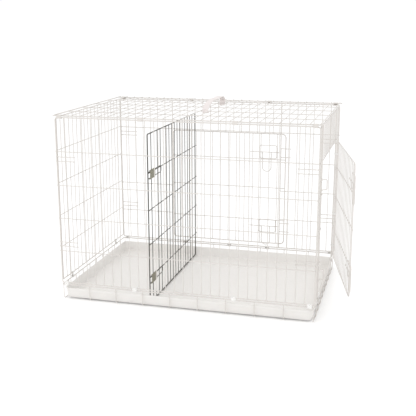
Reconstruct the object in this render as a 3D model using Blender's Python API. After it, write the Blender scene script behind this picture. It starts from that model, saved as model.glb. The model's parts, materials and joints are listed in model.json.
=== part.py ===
"""Folding wire dog crate, 42-inch class, with a drop-in divider.

The crate is welded from round steel wire. A long side, an end or a door is one lattice: a perimeter
wire, upright wires in its plane, and rows laid on the outside. Sheet-metal clips hold each panel to the
base and to the top, wire rings hang the two doors, and slide bolts with hanging handles lock them.

Units are metres. X runs along the crate, Y from the front to the back, Z up. The origin is the middle
of the floor that the crate stands on. Wires are drawn with four sides of the round wire's area.
"""

import math

import bmesh
import bpy
from mathutils import Matrix, Vector

# ---- driving dimensions -----------------------------------------------------------------------
LENGTH = 1.092
DEPTH = 0.745
TOP_RAIL_Z = 0.785

MESH_WIRE = 0.0030
ROW_WIRE = 0.0036
RAIL_WIRE = 0.0048
CLIP_SHEET = 0.0010
CLIP_WIDTH = 0.019
CLIP_REACH = 0.0038
CLIP_LIP = 0.0012
CLIP_ROUND = 0.0022

PANEL_INSET = 0.0065
PITCH = (LENGTH - 2 * PANEL_INSET) / 28
PANEL_FOOT_Z = 0.0777
SIDE_ROWS = (0.645, 0.503, 0.362, 0.220)
CORNER_ROUND = 0.012
FOOT_ROUND = 0.006

END_INSET = 0.0145
END_PITCH = (DEPTH - 2 * END_INSET) / 18
END_FOOT_Z = 0.0885
END_ROWS = (0.647, 0.509, 0.370, 0.231)
END_OVERHANG = 0.0015

BASE_RAIL_Z = 0.0687
BASE_INSET = 0.006
BASE_ROUND = 0.004
BASE_WIRE_COUNT = 10
BASE_FIRST_WIRE = 0.0105
FLOOR_RUNNER_COUNT = 9
FLOOR_RUNNER_FIRST = 0.0645
FLOOR_BEND = 0.012

PAN_FLOOR_Z = 0.0078
PAN_RIM_Z = 0.052
PAN_WALL = 0.0020
PAN_RIM_INSET = 0.0105
PAN_LIP_WIDTH = 0.0030
PAN_LIP_DROP = 0.0090
PAN_TAPER = 0.0050
PAN_CORNER = 0.034

DOOR_STANDOFF = 0.0096
DOOR_TOP_Z = 0.638
DOOR_FOOT_Z = 0.095
DOOR_ROWS = (0.513, 0.373, 0.211)
DOOR_OVERLAP = 0.022
DOOR_SPACES = 14
DOOR_ROUND = 0.018
RIGHT_DOOR_OPEN = math.radians(12.5)
BACK_DOOR_HINGE_BAY = 7
BACK_DOOR_LATCH_BAY = 21
RIGHT_DOOR_HINGE_BAY = 15
RIGHT_DOOR_LATCH_BAY = 2
HINGE_RING_Z = (0.580, 0.300, 0.150)
RING_REACH = 0.0041
RING_WIDTH = 0.006
RING_ROUND = 0.0024

LATCH_Z = (0.548, 0.179)
GUIDE_WIDTH = 0.084
GUIDE_HEIGHT = 0.064
GUIDE_FROM_EDGE = 0.044
GUIDE_ROUND = 0.010
BOLT_LENGTH = 0.146
BOLT_TIP_FROM_EDGE = 0.0285
BOLT_HANDLE_WIDTH = 0.042
BOLT_HANDLE_DROP = 0.096
BOLT_HANDLE_KNEE = 0.012
BOLT_HANDLE_SHIFT = 0.007
BOLT_HANDLE_ROUND = 0.0195
KEEPER_GAP = 0.042
KEEPER_LEG = 0.052
KEEPER_SHIFT = 0.0025
KEEPER_ROUND = 0.0065

DIVIDER_X = 0.3955
DIVIDER_FRONT = 0.0235
DIVIDER_REAR = 0.7205
DIVIDER_PITCH = 0.040
DIVIDER_TOP_Z = 0.728
DIVIDER_FOOT_Z = 0.0140
DIVIDER_ROWS = (0.571, 0.416, 0.270, 0.128)
DIVIDER_LATCH_Z = (0.5645, 0.1215)
DIVIDER_ROUND = 0.005
DIVIDER_OVERHANG = (0.004, 0.006)

TOP_WIRE_Z = 0.7925
TOP_CROSS = (0.145, 0.290, 0.434, 0.579)
TOP_EDGE_INSET = 0.0075
TOP_OVERHANG = 0.004

HANDLE_X = PANEL_INSET + 14.5 * PITCH
HANDLE_WIDTH = 0.026
HANDLE_THICKNESS = 0.0034
HANDLE_HOOK = 0.0046

# ---- sections: four sides with the area of the round wire --------------------------------------


def diamond(gauge):
    """A square wire section set on its corner, as (across, outward) points."""
    reach = gauge / 2 * math.sqrt(math.pi / 2)
    return ((reach, 0), (0, reach), (-reach, 0), (0, -reach))


def flat(gauge):
    """A square wire section lying on its side, as (across, outward) points."""
    half = gauge / 2 * math.sqrt(math.pi) / 2
    return ((half, half), (-half, half), (-half, -half), (half, -half))


def strip(width, thickness):
    """A flat strip's section: its width lies across the path."""
    a, b = width / 2, thickness / 2
    return ((a, b), (-a, b), (-a, -b), (a, -b))


MESH = diamond(MESH_WIRE)
ROW = diamond(ROW_WIRE)
RAIL = flat(RAIL_WIRE)
RUNNER = flat(ROW_WIRE)
BOLT = diamond(ROW_WIRE)
PIN = diamond(0.0032)

ROW_LAYER = 0.0042
TOP_LAYER = 0.0038
LAYER_GAP = 0.00005

# ---- frames: where a flat piece's own (along, up, out) axes lie in the crate --------------------


class Frame:
    """A plane of the crate: a corner point and its along, up and outward directions."""

    def __init__(self, corner, along, up, out):
        self.corner = Vector(corner)
        self.along = Vector(along)
        self.up = Vector(up)
        self.out = Vector(out)

    def at(self, u, v, n=0.0):
        return self.corner + self.along * u + self.up * v + self.out * n


LEFT_X, RIGHT_X = -LENGTH / 2, LENGTH / 2
FRONT_Y, BACK_Y = -DEPTH / 2, DEPTH / 2
X, Y, Z = (1, 0, 0), (0, 1, 0), (0, 0, 1)
FRONT = Frame((LEFT_X, FRONT_Y + PANEL_INSET, 0), X, Z, (0, -1, 0))
BACK = Frame((LEFT_X, BACK_Y - PANEL_INSET, 0), X, Z, Y)
LEFT = Frame((LEFT_X + PANEL_INSET, FRONT_Y, 0), Y, Z, (-1, 0, 0))
RIGHT = Frame((RIGHT_X - PANEL_INSET, FRONT_Y, 0), Y, Z, X)
TOP = Frame((LEFT_X, FRONT_Y, TOP_WIRE_Z), X, Y, Z)
DIVIDER = Frame((LEFT_X + DIVIDER_X, FRONT_Y, 0), Y, Z, X)
PLAN = Frame((LEFT_X, FRONT_Y, 0), X, Y, Z)

# ---- shared modelling functions ------------------------------------------------------------------


def clear_scene():
    for item in list(bpy.data.objects):
        bpy.data.objects.remove(item, do_unlink=True)


def finish(name, colour, roughness, metallic):
    """A plain Principled finish for one kind of surface."""
    material = bpy.data.materials.new(name)
    material.use_nodes = True
    shader = material.node_tree.nodes["Principled BSDF"]
    shader.inputs["Base Color"].default_value = (*colour, 1)
    shader.inputs["Roughness"].default_value = roughness
    shader.inputs["Metallic"].default_value = metallic
    material.diffuse_color = (*colour, 1)
    return material


def rounded(points, radius, steps=3, closed=False):
    """The same polyline with each corner turned into an arc of the radius."""
    result = []
    count = len(points)
    for i, corner in enumerate(points):
        if not closed and i in (0, count - 1):
            result.append(corner)
            continue
        back = (points[i - 1] - corner).normalized()
        ahead = (points[(i + 1) % count] - corner).normalized()
        half = back.angle(ahead) / 2
        centre = corner + (back + ahead).normalized() * (radius / math.sin(half))
        first = (corner + back * (radius / math.tan(half)) - centre).normalized()
        last = (corner + ahead * (radius / math.tan(half)) - centre).normalized()
        for k in range(steps + 1):
            result.append(centre + first.slerp(last, k / steps) * radius)
    return result


def rod(bm, points, section, out, closed=False):
    """Carry a section along a polyline, mitred at each corner; out is where the section's top faces."""
    count = len(points)
    legs = [(points[(i + 1) % count] - points[i]).normalized() for i in range(count)]
    start = legs[-1] if closed else legs[0]
    top = (Vector(out) - start * start.dot(Vector(out))).normalized()
    across = start.cross(top)
    offsets = [across * a + top * b for a, b in section]
    rings = []
    for i, point in enumerate(points):
        before = legs[i - 1] if (closed or i > 0) else legs[0]
        after = legs[i] if (closed or i < count - 1) else before
        mitre = (before + after).normalized()
        offsets = [o - before * (o.dot(mitre) / before.dot(mitre)) for o in offsets]
        rings.append([bm.verts.new(point + o) for o in offsets])
        offsets = [o - after * o.dot(after) for o in offsets]
    pairs = list(zip(rings, rings[1:]))
    if closed:
        pairs.append((rings[-1], rings[0]))
    sides = len(section)
    for near, far in pairs:
        for k in range(sides):
            bm.faces.new((near[k], near[(k + 1) % sides], far[(k + 1) % sides], far[k]))
    if not closed:
        bm.faces.new(rings[0])
        bm.faces.new(rings[-1])


def solid(name, bm, material=None):
    """Make an object of a bmesh with its faces pointing out."""
    bmesh.ops.recalc_face_normals(bm, faces=bm.faces)
    mesh = bpy.data.meshes.new(name)
    bm.to_mesh(mesh)
    bm.free()
    if material:
        mesh.materials.append(material)
    item = bpy.data.objects.new(name, mesh)
    bpy.context.scene.collection.objects.link(item)
    return item


def guide(name, bm):
    """A helper solid that is only an operand, kept out of the model."""
    item = solid(name, bm)
    item.hide_render = True
    item.display_type = "WIRE"
    return item


def weld(item, *helpers):
    """Join helper solids to an object as one body."""
    for helper in helpers:
        union = item.modifiers.new(helper.name, "BOOLEAN")
        union.operation = "UNION"
        union.solver = "EXACT"
        union.object = helper
        helper.parent = item
        helper.matrix_parent_inverse = item.matrix_world.inverted()


def set_origin(item, point):
    """Put an object's origin on a point, such as its joint's axis, without moving its mesh."""
    item.data.transform(Matrix.Translation(-Vector(point)))
    item.location = point


def lattice(name, material, frame, ring, uprights, rows):
    """One welded panel: a perimeter wire, uprights in its plane and rows laid on the outside.

    uprights are (u, low, high, section) and rows are (v, first, last) in the frame's own axes."""
    body = bmesh.new()
    rod(body, ring, RAIL, frame.out, closed=True)
    upright_mesh = bmesh.new()
    for u, low, high, section in uprights:
        rod(upright_mesh, [frame.at(u, low), frame.at(u, high)], section, frame.out)
    row_mesh = bmesh.new()
    for v, first, last in rows:
        rod(row_mesh, [frame.at(first, v, ROW_LAYER), frame.at(last, v, ROW_LAYER)], ROW, frame.out)
    item = solid(name, body, material)
    weld(item, guide(name + ".uprights", upright_mesh), guide(name + ".rows", row_mesh))
    return item


def outline(frame, u0, u1, v0, v1, top_round, foot_round):
    """A perimeter wire's path: a rectangle with its own rounding at the top and at the foot."""
    middle = (u0 + u1) / 2
    right_half = [frame.at(middle, v0), frame.at(u1, v0), frame.at(u1, (v0 + v1) / 2)]
    upper = [right_half[-1], frame.at(u1, v1), frame.at(u0, v1), frame.at(u0, (v0 + v1) / 2)]
    lower = [upper[-1], frame.at(u0, v0), right_half[0]]
    foot_right = rounded(right_half, foot_round)[1:-1]
    top = rounded(upper, top_round)[1:-1]
    foot_left = rounded(lower, foot_round)[1:-1]
    return foot_right + top + foot_left


# ---- the long sides and their corner keepers ------------------------------------------------------

OVERHANG = 0.0035
KEEPER_PAIR_Z = (0.614, 0.2495)
KEEPER_PAIR_GAP = 0.018
KEEPER_PAIR_LENGTH = 0.0825


def corner_keepers():
    """Short pairs of rows at each end of a long side."""
    rows = []
    for z in KEEPER_PAIR_Z:
        for end, way in ((PANEL_INSET, 1), (LENGTH - PANEL_INSET, -1)):
            first = end - way * OVERHANG
            last = end + way * KEEPER_PAIR_LENGTH
            low, high = sorted((first, last))
            rows += [(z + side * KEEPER_PAIR_GAP / 2, low, high) for side in (1, -1)]
    return rows


def side_uprights(skipped=()):
    """Uprights of a long side: full height, or only above the doorway in the skipped bays."""
    result = []
    for i in range(1, 28):
        low = SIDE_ROWS[0] if i in skipped else PANEL_FOOT_Z
        result.append((PANEL_INSET + i * PITCH, low, TOP_RAIL_Z, MESH))
    return result


def side_ring(frame):
    return outline(frame, PANEL_INSET, LENGTH - PANEL_INSET, PANEL_FOOT_Z, TOP_RAIL_Z,
                   CORNER_ROUND, FOOT_ROUND)


def front_panel(material):
    first, last = PANEL_INSET - OVERHANG, LENGTH - PANEL_INSET + OVERHANG
    rows = [(z, first, last) for z in SIDE_ROWS] + corner_keepers()
    return lattice("front_panel", material, FRONT, side_ring(FRONT), side_uprights(), rows)


def back_panel(material):
    """The back long side has a doorway between two heavy uprights."""
    hinge = PANEL_INSET + BACK_DOOR_HINGE_BAY * PITCH
    latch = PANEL_INSET + BACK_DOOR_LATCH_BAY * PITCH
    open_bays = range(BACK_DOOR_HINGE_BAY + 1, BACK_DOOR_LATCH_BAY)
    uprights = []
    for i, (u, low, high, section) in enumerate(side_uprights(open_bays), start=1):
        heavy = i in (BACK_DOOR_HINGE_BAY, BACK_DOOR_LATCH_BAY)
        start = low if i not in open_bays else low - OVERHANG
        uprights.append((u, start, high, RAIL if heavy else section))
    first, last = PANEL_INSET - OVERHANG, LENGTH - PANEL_INSET + OVERHANG
    rows = [(SIDE_ROWS[0], first, last)] + corner_keepers()
    for z in SIDE_ROWS[1:]:
        rows += [(z, first, hinge + OVERHANG), (z, latch - OVERHANG, last)]
    return lattice("back_panel", material, BACK, side_ring(BACK), uprights, rows)


# ---- the ends ------------------------------------------------------------------------------------


def end_ring(frame):
    return outline(frame, END_INSET, DEPTH - END_INSET, END_FOOT_Z, TOP_RAIL_Z, CORNER_ROUND,
                   FOOT_ROUND)


def left_end_panel(material):
    uprights = [(END_INSET + i * END_PITCH, END_FOOT_Z, TOP_RAIL_Z, MESH) for i in range(1, 18)]
    first, last = END_INSET - END_OVERHANG, DEPTH - END_INSET + END_OVERHANG
    rows = [(z, first, last) for z in END_ROWS]
    return lattice("left_end_panel", material, LEFT, end_ring(LEFT), uprights, rows)


def right_end_panel(material):
    """The right end has a doorway, open from its foot wire up to its highest row."""
    hinge = END_INSET + RIGHT_DOOR_HINGE_BAY * END_PITCH
    latch = END_INSET + RIGHT_DOOR_LATCH_BAY * END_PITCH
    uprights = []
    for i in range(1, 18):
        u = END_INSET + i * END_PITCH
        if RIGHT_DOOR_LATCH_BAY < i < RIGHT_DOOR_HINGE_BAY:
            uprights.append((u, END_ROWS[0] - OVERHANG, TOP_RAIL_Z, MESH))
        else:
            heavy = i in (RIGHT_DOOR_LATCH_BAY, RIGHT_DOOR_HINGE_BAY)
            uprights.append((u, END_FOOT_Z, TOP_RAIL_Z, RAIL if heavy else MESH))
    first, last = END_INSET - END_OVERHANG, DEPTH - END_INSET + END_OVERHANG
    rows = [(END_ROWS[0], first, last)]
    for z in END_ROWS[1:]:
        rows += [(z, first, latch + OVERHANG), (z, hinge - OVERHANG, last)]
    return lattice("right_end_panel", material, RIGHT, end_ring(RIGHT), uprights, rows)


# ---- the top -------------------------------------------------------------------------------------


def top_panel(material):
    """Two edge wires and four cross wires, with a wire over each of them at the side panels' pitch."""
    edges = bmesh.new()
    ends = (-TOP_OVERHANG, LENGTH + TOP_OVERHANG)
    for v in (TOP_EDGE_INSET, DEPTH - TOP_EDGE_INSET):
        rod(edges, [TOP.at(ends[0], v), TOP.at(ends[1], v)], RAIL, Z)
    cross = bmesh.new()
    for i in range(29):
        u = PANEL_INSET + i * PITCH
        section = RAIL if i in (0, 28) else MESH
        run = [TOP.at(u, v, TOP_LAYER) for v in (TOP_OVERHANG, DEPTH - TOP_OVERHANG)]
        rod(cross, run, section, Z)
    along = bmesh.new()
    for v in TOP_CROSS:
        rod(along, [TOP.at(ends[0], v), TOP.at(ends[1], v)], MESH, Z)
    item = solid("top_panel", edges, material)
    weld(item, guide("top_panel.cross", cross), guide("top_panel.along", along))
    return item


# ---- the base grid and its pan -------------------------------------------------------------------


def base_grid(material):
    """A rim wire held up by wires bent into long, low U shapes, crossing under the pan."""
    rim = bmesh.new()
    far_x, far_y = LENGTH - BASE_INSET, DEPTH - BASE_INSET
    plan = ((BASE_INSET, BASE_INSET), (far_x, BASE_INSET), (far_x, far_y), (BASE_INSET, far_y))
    corners = [PLAN.at(u, v, BASE_RAIL_Z) for u, v in plan]
    rod(rim, rounded(corners, BASE_ROUND, 2, closed=True), RAIL, Z, closed=True)

    runner_z = RUNNER[0][1]
    runners = bmesh.new()
    gap = (DEPTH - 2 * FLOOR_RUNNER_FIRST) / (FLOOR_RUNNER_COUNT - 1)
    for j in range(FLOOR_RUNNER_COUNT):
        v = FLOOR_RUNNER_FIRST + j * gap
        bend = [PLAN.at(BASE_INSET, v, BASE_RAIL_Z), PLAN.at(BASE_INSET, v, runner_z),
                PLAN.at(LENGTH - BASE_INSET, v, runner_z), PLAN.at(LENGTH - BASE_INSET, v, BASE_RAIL_Z)]
        rod(runners, rounded(bend, FLOOR_BEND), RUNNER, Y)

    wire_z = 2 * runner_z + MESH[0][0] + LAYER_GAP
    wires = bmesh.new()
    pitch = (LENGTH - 2 * BASE_FIRST_WIRE) / (BASE_WIRE_COUNT - 1)
    for i in range(BASE_WIRE_COUNT):
        u = BASE_FIRST_WIRE + i * pitch
        bend = [PLAN.at(u, BASE_INSET, BASE_RAIL_Z), PLAN.at(u, BASE_INSET, wire_z),
                PLAN.at(u, DEPTH - BASE_INSET, wire_z), PLAN.at(u, DEPTH - BASE_INSET, BASE_RAIL_Z)]
        rod(wires, rounded(bend, FLOOR_BEND), MESH, X)
    item = solid("base_grid", rim, material)
    weld(item, guide("base_grid.runners", runners), guide("base_grid.wires", wires))
    return item


def pan(material):
    """A moulded tray: tapered walls, an outward lip at the rim, and a flat floor."""
    wall = PAN_RIM_INSET + PAN_LIP_WIDTH
    inner_rim = PAN_RIM_INSET + 2 * PAN_WALL
    lip_z = PAN_RIM_Z - PAN_LIP_DROP
    levels = ((wall + PAN_TAPER, PAN_FLOOR_Z), (wall, lip_z), (PAN_RIM_INSET, lip_z),
              (PAN_RIM_INSET, PAN_RIM_Z), (inner_rim, PAN_RIM_Z),
              (wall + PAN_TAPER + PAN_WALL, PAN_FLOOR_Z + PAN_WALL))
    bm = bmesh.new()
    loops = []
    for inset, z in levels:
        corners = [PLAN.at(inset, inset, z), PLAN.at(LENGTH - inset, inset, z),
                   PLAN.at(LENGTH - inset, DEPTH - inset, z), PLAN.at(inset, DEPTH - inset, z)]
        ring = rounded(corners, PAN_CORNER - inset, 4, closed=True)
        loops.append([bm.verts.new(p) for p in ring])
    count = len(loops[0])
    for low, high in zip(loops, loops[1:]):
        for k in range(count):
            bm.faces.new((low[k], low[(k + 1) % count], high[(k + 1) % count], high[k]))
    bm.faces.new(loops[0])
    bm.faces.new(loops[-1])
    return solid("pan", bm, material)


# ---- doors and their latches ----------------------------------------------------------------------


class Door:
    """Where a door hangs: its frame, its hinge and latch uprights, and the way from hinge to edge."""

    def __init__(self, name, frame, hinge, latch):
        self.name = name
        self.frame = frame
        self.hinge = hinge
        self.way = 1 if latch > hinge else -1
        self.latch = latch
        self.edge = latch + self.way * DOOR_OVERLAP

    def at(self, from_edge, z, out):
        """A point at a distance in from the free edge, with out from the door's own plane."""
        return self.frame.at(self.edge - self.way * from_edge, z, DOOR_STANDOFF + out)

    def axis(self):
        return self.frame.at(self.hinge, 0, DOOR_STANDOFF)


def door_panel(door, material):
    plane = Frame(door.frame.corner + door.frame.out * DOOR_STANDOFF, door.frame.along, door.frame.up,
                  door.frame.out)
    low, high = sorted((door.hinge, door.edge))
    ring = outline(plane, low, high, DOOR_FOOT_Z, DOOR_TOP_Z, DOOR_ROUND, DOOR_ROUND)
    pitch = (high - low) / DOOR_SPACES
    uprights = [(low + i * pitch, DOOR_FOOT_Z, DOOR_TOP_Z, MESH) for i in range(1, DOOR_SPACES)]
    rows = [(z, low - END_OVERHANG, high + END_OVERHANG) for z in DOOR_ROWS]
    return lattice(door.name, material, plane, ring, uprights, rows)


GUIDE_LAYER = 0.0096
BOLT_LAYER = 0.0045
BOLT_HANDLE_LAYER = 0.0145


def latch_guide(door, name, z, material):
    """A rounded rectangle of wire that holds the bolt against the door."""
    bm = bmesh.new()
    near, far = GUIDE_FROM_EDGE, GUIDE_FROM_EDGE + GUIDE_WIDTH
    corners = [door.at(u, z + side * GUIDE_HEIGHT / 2, GUIDE_LAYER)
               for u, side in ((near, -1), (far, -1), (far, 1), (near, 1))]
    rod(bm, rounded(corners, GUIDE_ROUND, 3, closed=True), ROW, door.frame.out, closed=True)
    return solid(name, bm, material)


def latch_bolt(door, name, z, material):
    """A straight bolt wire with a hanging wire handle, which is joined to it by its two ends."""
    shaft = bmesh.new()
    tip, tail = BOLT_TIP_FROM_EDGE, BOLT_TIP_FROM_EDGE + BOLT_LENGTH
    rod(shaft, [door.at(tip, z, BOLT_LAYER), door.at(tail, z, BOLT_LAYER)], BOLT, door.frame.out)
    handle = bmesh.new()
    middle = GUIDE_FROM_EDGE + GUIDE_WIDTH / 2 + BOLT_HANDLE_SHIFT
    near, far = middle - BOLT_HANDLE_WIDTH / 2, middle + BOLT_HANDLE_WIDTH / 2
    knee = z - BOLT_HANDLE_KNEE
    foot = z - BOLT_HANDLE_DROP
    drop = [door.at(near, knee, BOLT_HANDLE_LAYER), door.at(near, foot, BOLT_HANDLE_LAYER),
            door.at(far, foot, BOLT_HANDLE_LAYER), door.at(far, knee, BOLT_HANDLE_LAYER)]
    path = ([door.at(near, z, BOLT_LAYER)] + rounded(drop, BOLT_HANDLE_ROUND, 5)
            + [door.at(far, z, BOLT_LAYER)])
    rod(handle, path, BOLT, door.frame.out)
    item = solid(name, shaft, material)
    weld(item, guide(name + ".handle", handle))
    return item


KEEPER_LAYER = 0.0047
KEEPER_NOSE = 0.0215


def latch_keeper(door, name, z, material):
    """A U-shaped wire on the panel beside the door: its nose stands out for the bolt to enter."""
    bm = bmesh.new()
    nose = door.latch - door.way * KEEPER_SHIFT
    leg = nose + door.way * KEEPER_LEG
    path = []
    for side in (1, -1):
        level = z + side * KEEPER_GAP / 2
        arm = [door.frame.at(leg, level, KEEPER_LAYER), door.frame.at(nose, level, KEEPER_LAYER),
               door.frame.at(nose, level, KEEPER_NOSE)]
        path += arm if side == 1 else arm[::-1]
    rod(bm, rounded(path, KEEPER_ROUND, 3), ROW, door.frame.up)
    return solid(name, bm, material)


def hinge_ring(door, name, z, material):
    """An open ring of flat wire round the door's outer upright and the panel's upright."""
    bm = bmesh.new()
    reach = RING_REACH
    far = DOOR_STANDOFF + reach
    points = [(reach, -0.0010), (reach, -reach), (-reach, -reach), (-reach, far), (reach, far),
              (reach, 0.0030)]
    path = [door.frame.at(door.hinge + a, z, n) for a, n in points]
    rod(bm, rounded(path, RING_ROUND, 2), strip(RING_WIDTH, CLIP_SHEET), door.frame.along)
    return solid(name, bm, material)


# ---- clips ---------------------------------------------------------------------------------------


def rail_clip(name, low, high, along, inward, material):
    """A sheet clip wrapped round two parallel rails, open on the inside between them."""
    bm = bmesh.new()
    low, high, inward = Vector(low), Vector(high), Vector(inward)
    rise = (high - low).normalized()
    side = inward * CLIP_REACH
    foot, head = rise * -CLIP_REACH, rise * CLIP_REACH
    points = [low + side + rise * CLIP_LIP, low + side + foot, low - side + foot,
              high - side + head, high + side + head, high + side - rise * CLIP_LIP]
    rod(bm, rounded(points, CLIP_ROUND, 2), strip(CLIP_WIDTH, CLIP_SHEET), inward)
    return solid(name, bm, material)


CLIP_BAYS = (0, 8, 19, 27)
BACK_CLIP_BAYS = (0, 8, 14, 19, 27)
TOP_CLIP_BAYS = (0, 9, 19, 27)
END_CLIP_BAYS = (2, 15)


def clips(material):
    """All the sheet clips: along the foot of each long side, along the top, and two at each end."""
    def bay(i):
        return LEFT_X + PANEL_INSET + (i + 0.5) * PITCH

    for name, frame_y, sign, bays in (("front_foot_clip", FRONT_Y, 1, CLIP_BAYS),
                                      ("back_foot_clip", BACK_Y, -1, BACK_CLIP_BAYS)):
        for number, i in enumerate(bays, start=1):
            low = (bay(i), frame_y + sign * BASE_INSET, BASE_RAIL_Z)
            high = (bay(i), frame_y + sign * PANEL_INSET, PANEL_FOOT_Z)
            rail_clip(f"{name}_{number}", low, high, X, (0, sign, 0), material)
    for name, frame_y, sign in (("front_top_clip", FRONT_Y, 1), ("back_top_clip", BACK_Y, -1)):
        for number, i in enumerate(TOP_CLIP_BAYS, start=1):
            low = (bay(i), frame_y + sign * PANEL_INSET, TOP_RAIL_Z)
            high = (bay(i), frame_y + sign * TOP_EDGE_INSET, TOP_WIRE_Z)
            rail_clip(f"{name}_{number}", low, high, X, (0, sign, 0), material)
    for name, frame_x, sign in (("left_end_clip", LEFT_X, 1), ("right_end_clip", RIGHT_X, -1)):
        for number, i in enumerate(END_CLIP_BAYS, start=1):
            y = FRONT_Y + END_INSET + (i + 0.5) * END_PITCH
            low = (frame_x + sign * BASE_INSET, y, BASE_RAIL_Z)
            high = (frame_x + sign * PANEL_INSET, y, END_FOOT_Z)
            rail_clip(f"{name}_{number}", low, high, Y, (sign, 0, 0), material)


# ---- the divider ---------------------------------------------------------------------------------


def divider_panel(material):
    ring = outline(DIVIDER, DIVIDER_FRONT, DIVIDER_REAR, DIVIDER_FOOT_Z, DIVIDER_TOP_Z,
                   DIVIDER_ROUND, DIVIDER_ROUND)
    uprights = [(DIVIDER_FRONT + i * DIVIDER_PITCH, DIVIDER_FOOT_Z, DIVIDER_TOP_Z, MESH)
                for i in range(1, 17)]
    first, last = DIVIDER_FRONT - DIVIDER_OVERHANG[0], DIVIDER_REAR + DIVIDER_OVERHANG[1]
    rows = [(z, first, last) for z in DIVIDER_ROWS]
    return lattice("divider_panel", material, DIVIDER, ring, uprights, rows)


DIVIDER_BOLT_LAYER = 0.0090
DIVIDER_BOLT_TIP = -0.006
DIVIDER_BOLT_END = 0.165
DIVIDER_BOLT_GAP = 0.027
DIVIDER_BOLT_ROUND = 0.010
BRACKET_MIDDLE = 0.048
BRACKET_WIDTH = 0.064
BRACKET_LAYERS = (0.0072, 0.0124)
BRACKET_REACH = 0.0042
BRACKET_ROUND = 0.0012


def divider_bolt(name, z, material):
    """A hairpin of wire: two prongs reach through the front panel, and its bend is the finger loop."""
    bm = bmesh.new()
    half = DIVIDER_BOLT_GAP / 2
    path = [DIVIDER.at(u, z + side * half, DIVIDER_BOLT_LAYER)
            for u, side in ((DIVIDER_BOLT_TIP, 1), (DIVIDER_BOLT_END, 1), (DIVIDER_BOLT_END, -1),
                            (DIVIDER_BOLT_TIP, -1))]
    rod(bm, rounded(path, DIVIDER_BOLT_ROUND, 3), PIN, DIVIDER.out)
    return solid(name, bm, material)


def divider_bracket(name, z, material):
    """A channel of zinc-plated sheet over the hairpin's legs, open towards the divider."""
    bm = bmesh.new()
    half = DIVIDER_BOLT_GAP / 2 + BRACKET_REACH
    near, far = BRACKET_LAYERS
    path = [DIVIDER.at(BRACKET_MIDDLE, z + side * half, n)
            for side, n in ((1, near), (1, far), (-1, far), (-1, near))]
    rod(bm, rounded(path, BRACKET_ROUND, 2), strip(BRACKET_WIDTH, CLIP_SHEET), DIVIDER.up)
    return solid(name, bm, material)


# ---- the carry handle -----------------------------------------------------------------------------


def hook_arc(y, z, reach, start, end, steps):
    """Points on a part circle round a cross wire, by angles from the +Y direction."""
    result = []
    for k in range(steps + 1):
        angle = math.radians(start + (end - start) * k / steps)
        result.append((y + reach * math.cos(angle), z + reach * math.sin(angle)))
    return result


def carry_handle(material):
    """An arched strap whose two ends hook under cross wires of the top."""
    near, far = TOP_CROSS[1], TOP_CROSS[3]
    profile = hook_arc(near, TOP_WIRE_Z, HANDLE_HOOK, 20, -180, 6)
    profile += [(near - 0.004, TOP_WIRE_Z + 0.010), (near + 0.016, TOP_WIRE_Z + 0.022),
                (near + 0.050, TOP_WIRE_Z + 0.034), (near + 0.120, TOP_WIRE_Z + 0.0385),
                (far - 0.040, TOP_WIRE_Z + 0.0385), (far - 0.006, TOP_WIRE_Z + 0.034),
                (far + 0.010, TOP_WIRE_Z + 0.020)]
    profile += hook_arc(far, TOP_WIRE_Z, HANDLE_HOOK, 0, -200, 6)
    path = [Vector((LEFT_X + HANDLE_X, FRONT_Y + y, z)) for y, z in profile]
    bm = bmesh.new()
    rod(bm, path, strip(HANDLE_WIDTH, HANDLE_THICKNESS), Z)
    return solid("carry_handle", bm, material)


# ---- assembly ------------------------------------------------------------------------------------


def hang(items, point, name, angle=0.0):
    """Parent pieces to an empty on their joint's axis, turned to where they rest."""
    empty = bpy.data.objects.new(name, None)
    bpy.context.scene.collection.objects.link(empty)
    empty.location = point
    for item in items:
        set_origin(item, point)
        for helper in item.children:
            helper.data.transform(Matrix.Translation(-Vector(point)))
            helper.matrix_parent_inverse = Matrix.Identity(4)
        item.location = (0, 0, 0)
        item.parent = empty
    empty.rotation_euler = (0, 0, angle)


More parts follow.
